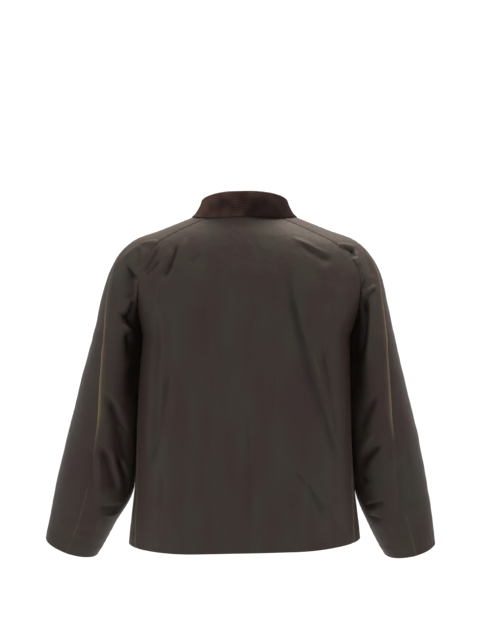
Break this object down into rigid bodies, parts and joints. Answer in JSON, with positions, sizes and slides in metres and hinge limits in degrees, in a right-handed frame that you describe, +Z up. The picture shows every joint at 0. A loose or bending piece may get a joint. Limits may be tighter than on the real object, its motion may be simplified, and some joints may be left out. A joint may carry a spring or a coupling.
{
  "type": "jacket",
  "caption": "Short waxed cotton jacket, zipped shut, with raglan sleeves and a corduroy collar, standing hollow in its worn shape.",
  "frame": {"origin": "the nape: the middle of the back neck seam, where the wearer's neck holds the jacket", "axes": "+X to the wearer's left, across the sleeves; -Y to the wearer's front and +Y to the back; +Z up"},
  "size_m": [0.8208, 0.299, 0.7566],
  "materials": {
    "waxed_cotton": "waxed cotton, dark brown-black with a soft low sheen",
    "corduroy": "fine dark brown corduroy, ribs along the collar",
    "zip_tape": "woven tape with metal teeth along its edge",
    "zip_metal": "satin antique brass"
  },
  "bodies": {
    "jacket": {"back": "waxed_cotton", "front_left": "waxed_cotton", "front_right": "waxed_cotton", "sleeve_back_left": "waxed_cotton", "sleeve_back_right": "waxed_cotton", "sleeve_front_left": "waxed_cotton", "sleeve_front_right": "waxed_cotton", "collar": "corduroy", "zip_left": "zip_tape", "zip_right": "zip_tape", "zip_slider": "zip_metal"},
    "pull": {"zip_pull": "zip_metal"}
  },
  "joints": [
    {"name": "pull_hinge", "type": "hinge", "parent": "jacket", "child": "pull", "pos_m": [0, -0.1745, -0.1098], "axis": [-1, 0, 0], "range_deg": [0, 170]}
  ]
}
